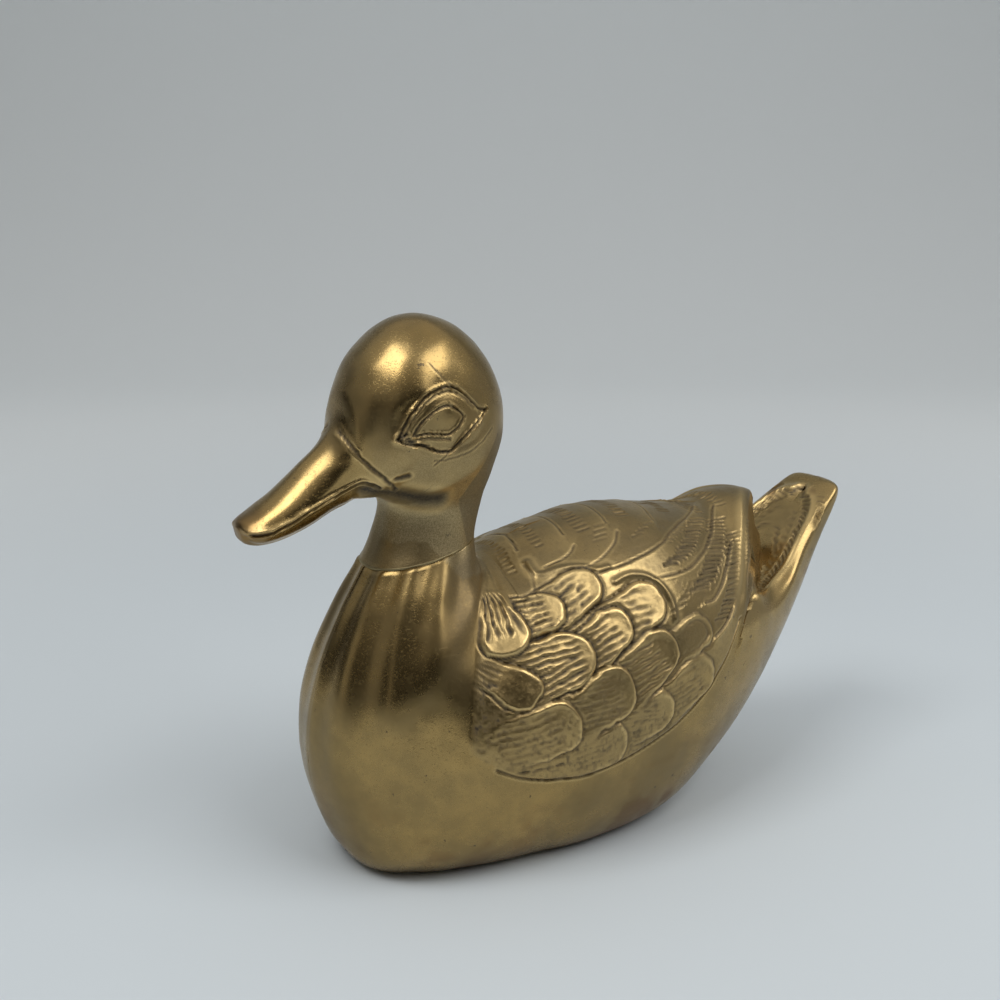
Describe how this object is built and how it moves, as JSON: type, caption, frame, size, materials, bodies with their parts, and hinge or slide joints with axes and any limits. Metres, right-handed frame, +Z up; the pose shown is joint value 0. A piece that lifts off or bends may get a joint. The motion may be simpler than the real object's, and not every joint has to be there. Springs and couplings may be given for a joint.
{
  "type": "duck figurine",
  "caption": "Hollow cast brass duck ornament, free-standing, with folded scalloped wings, upturned tail, almond eyes and a flat closed base.",
  "frame": {"origin": "middle of the bounding box in plan, on the surface that the duck stands on", "axes": "+X the way that the duck faces, along its length; +Y its left side; +Z up"},
  "size_m": [0.2438, 0.1054, 0.184],
  "materials": {
    "brass_body": "aged cast brass, satin, darker in the engraving",
    "brass_head": "aged cast brass, brighter where it has been handled",
    "brass_plate": "flat brass sheet, dull",
    "filler_brass": "brazing metal, filed and dulled"
  },
  "bodies": {
    "root": {"body_left_half": "brass_body", "body_right_half": "brass_body", "head_casting": "brass_head", "base_plate": "brass_plate", "neck_braze": "filler_brass", "seam_braze": "filler_brass", "plate_braze": "filler_brass"}
  },
  "joints": []
}
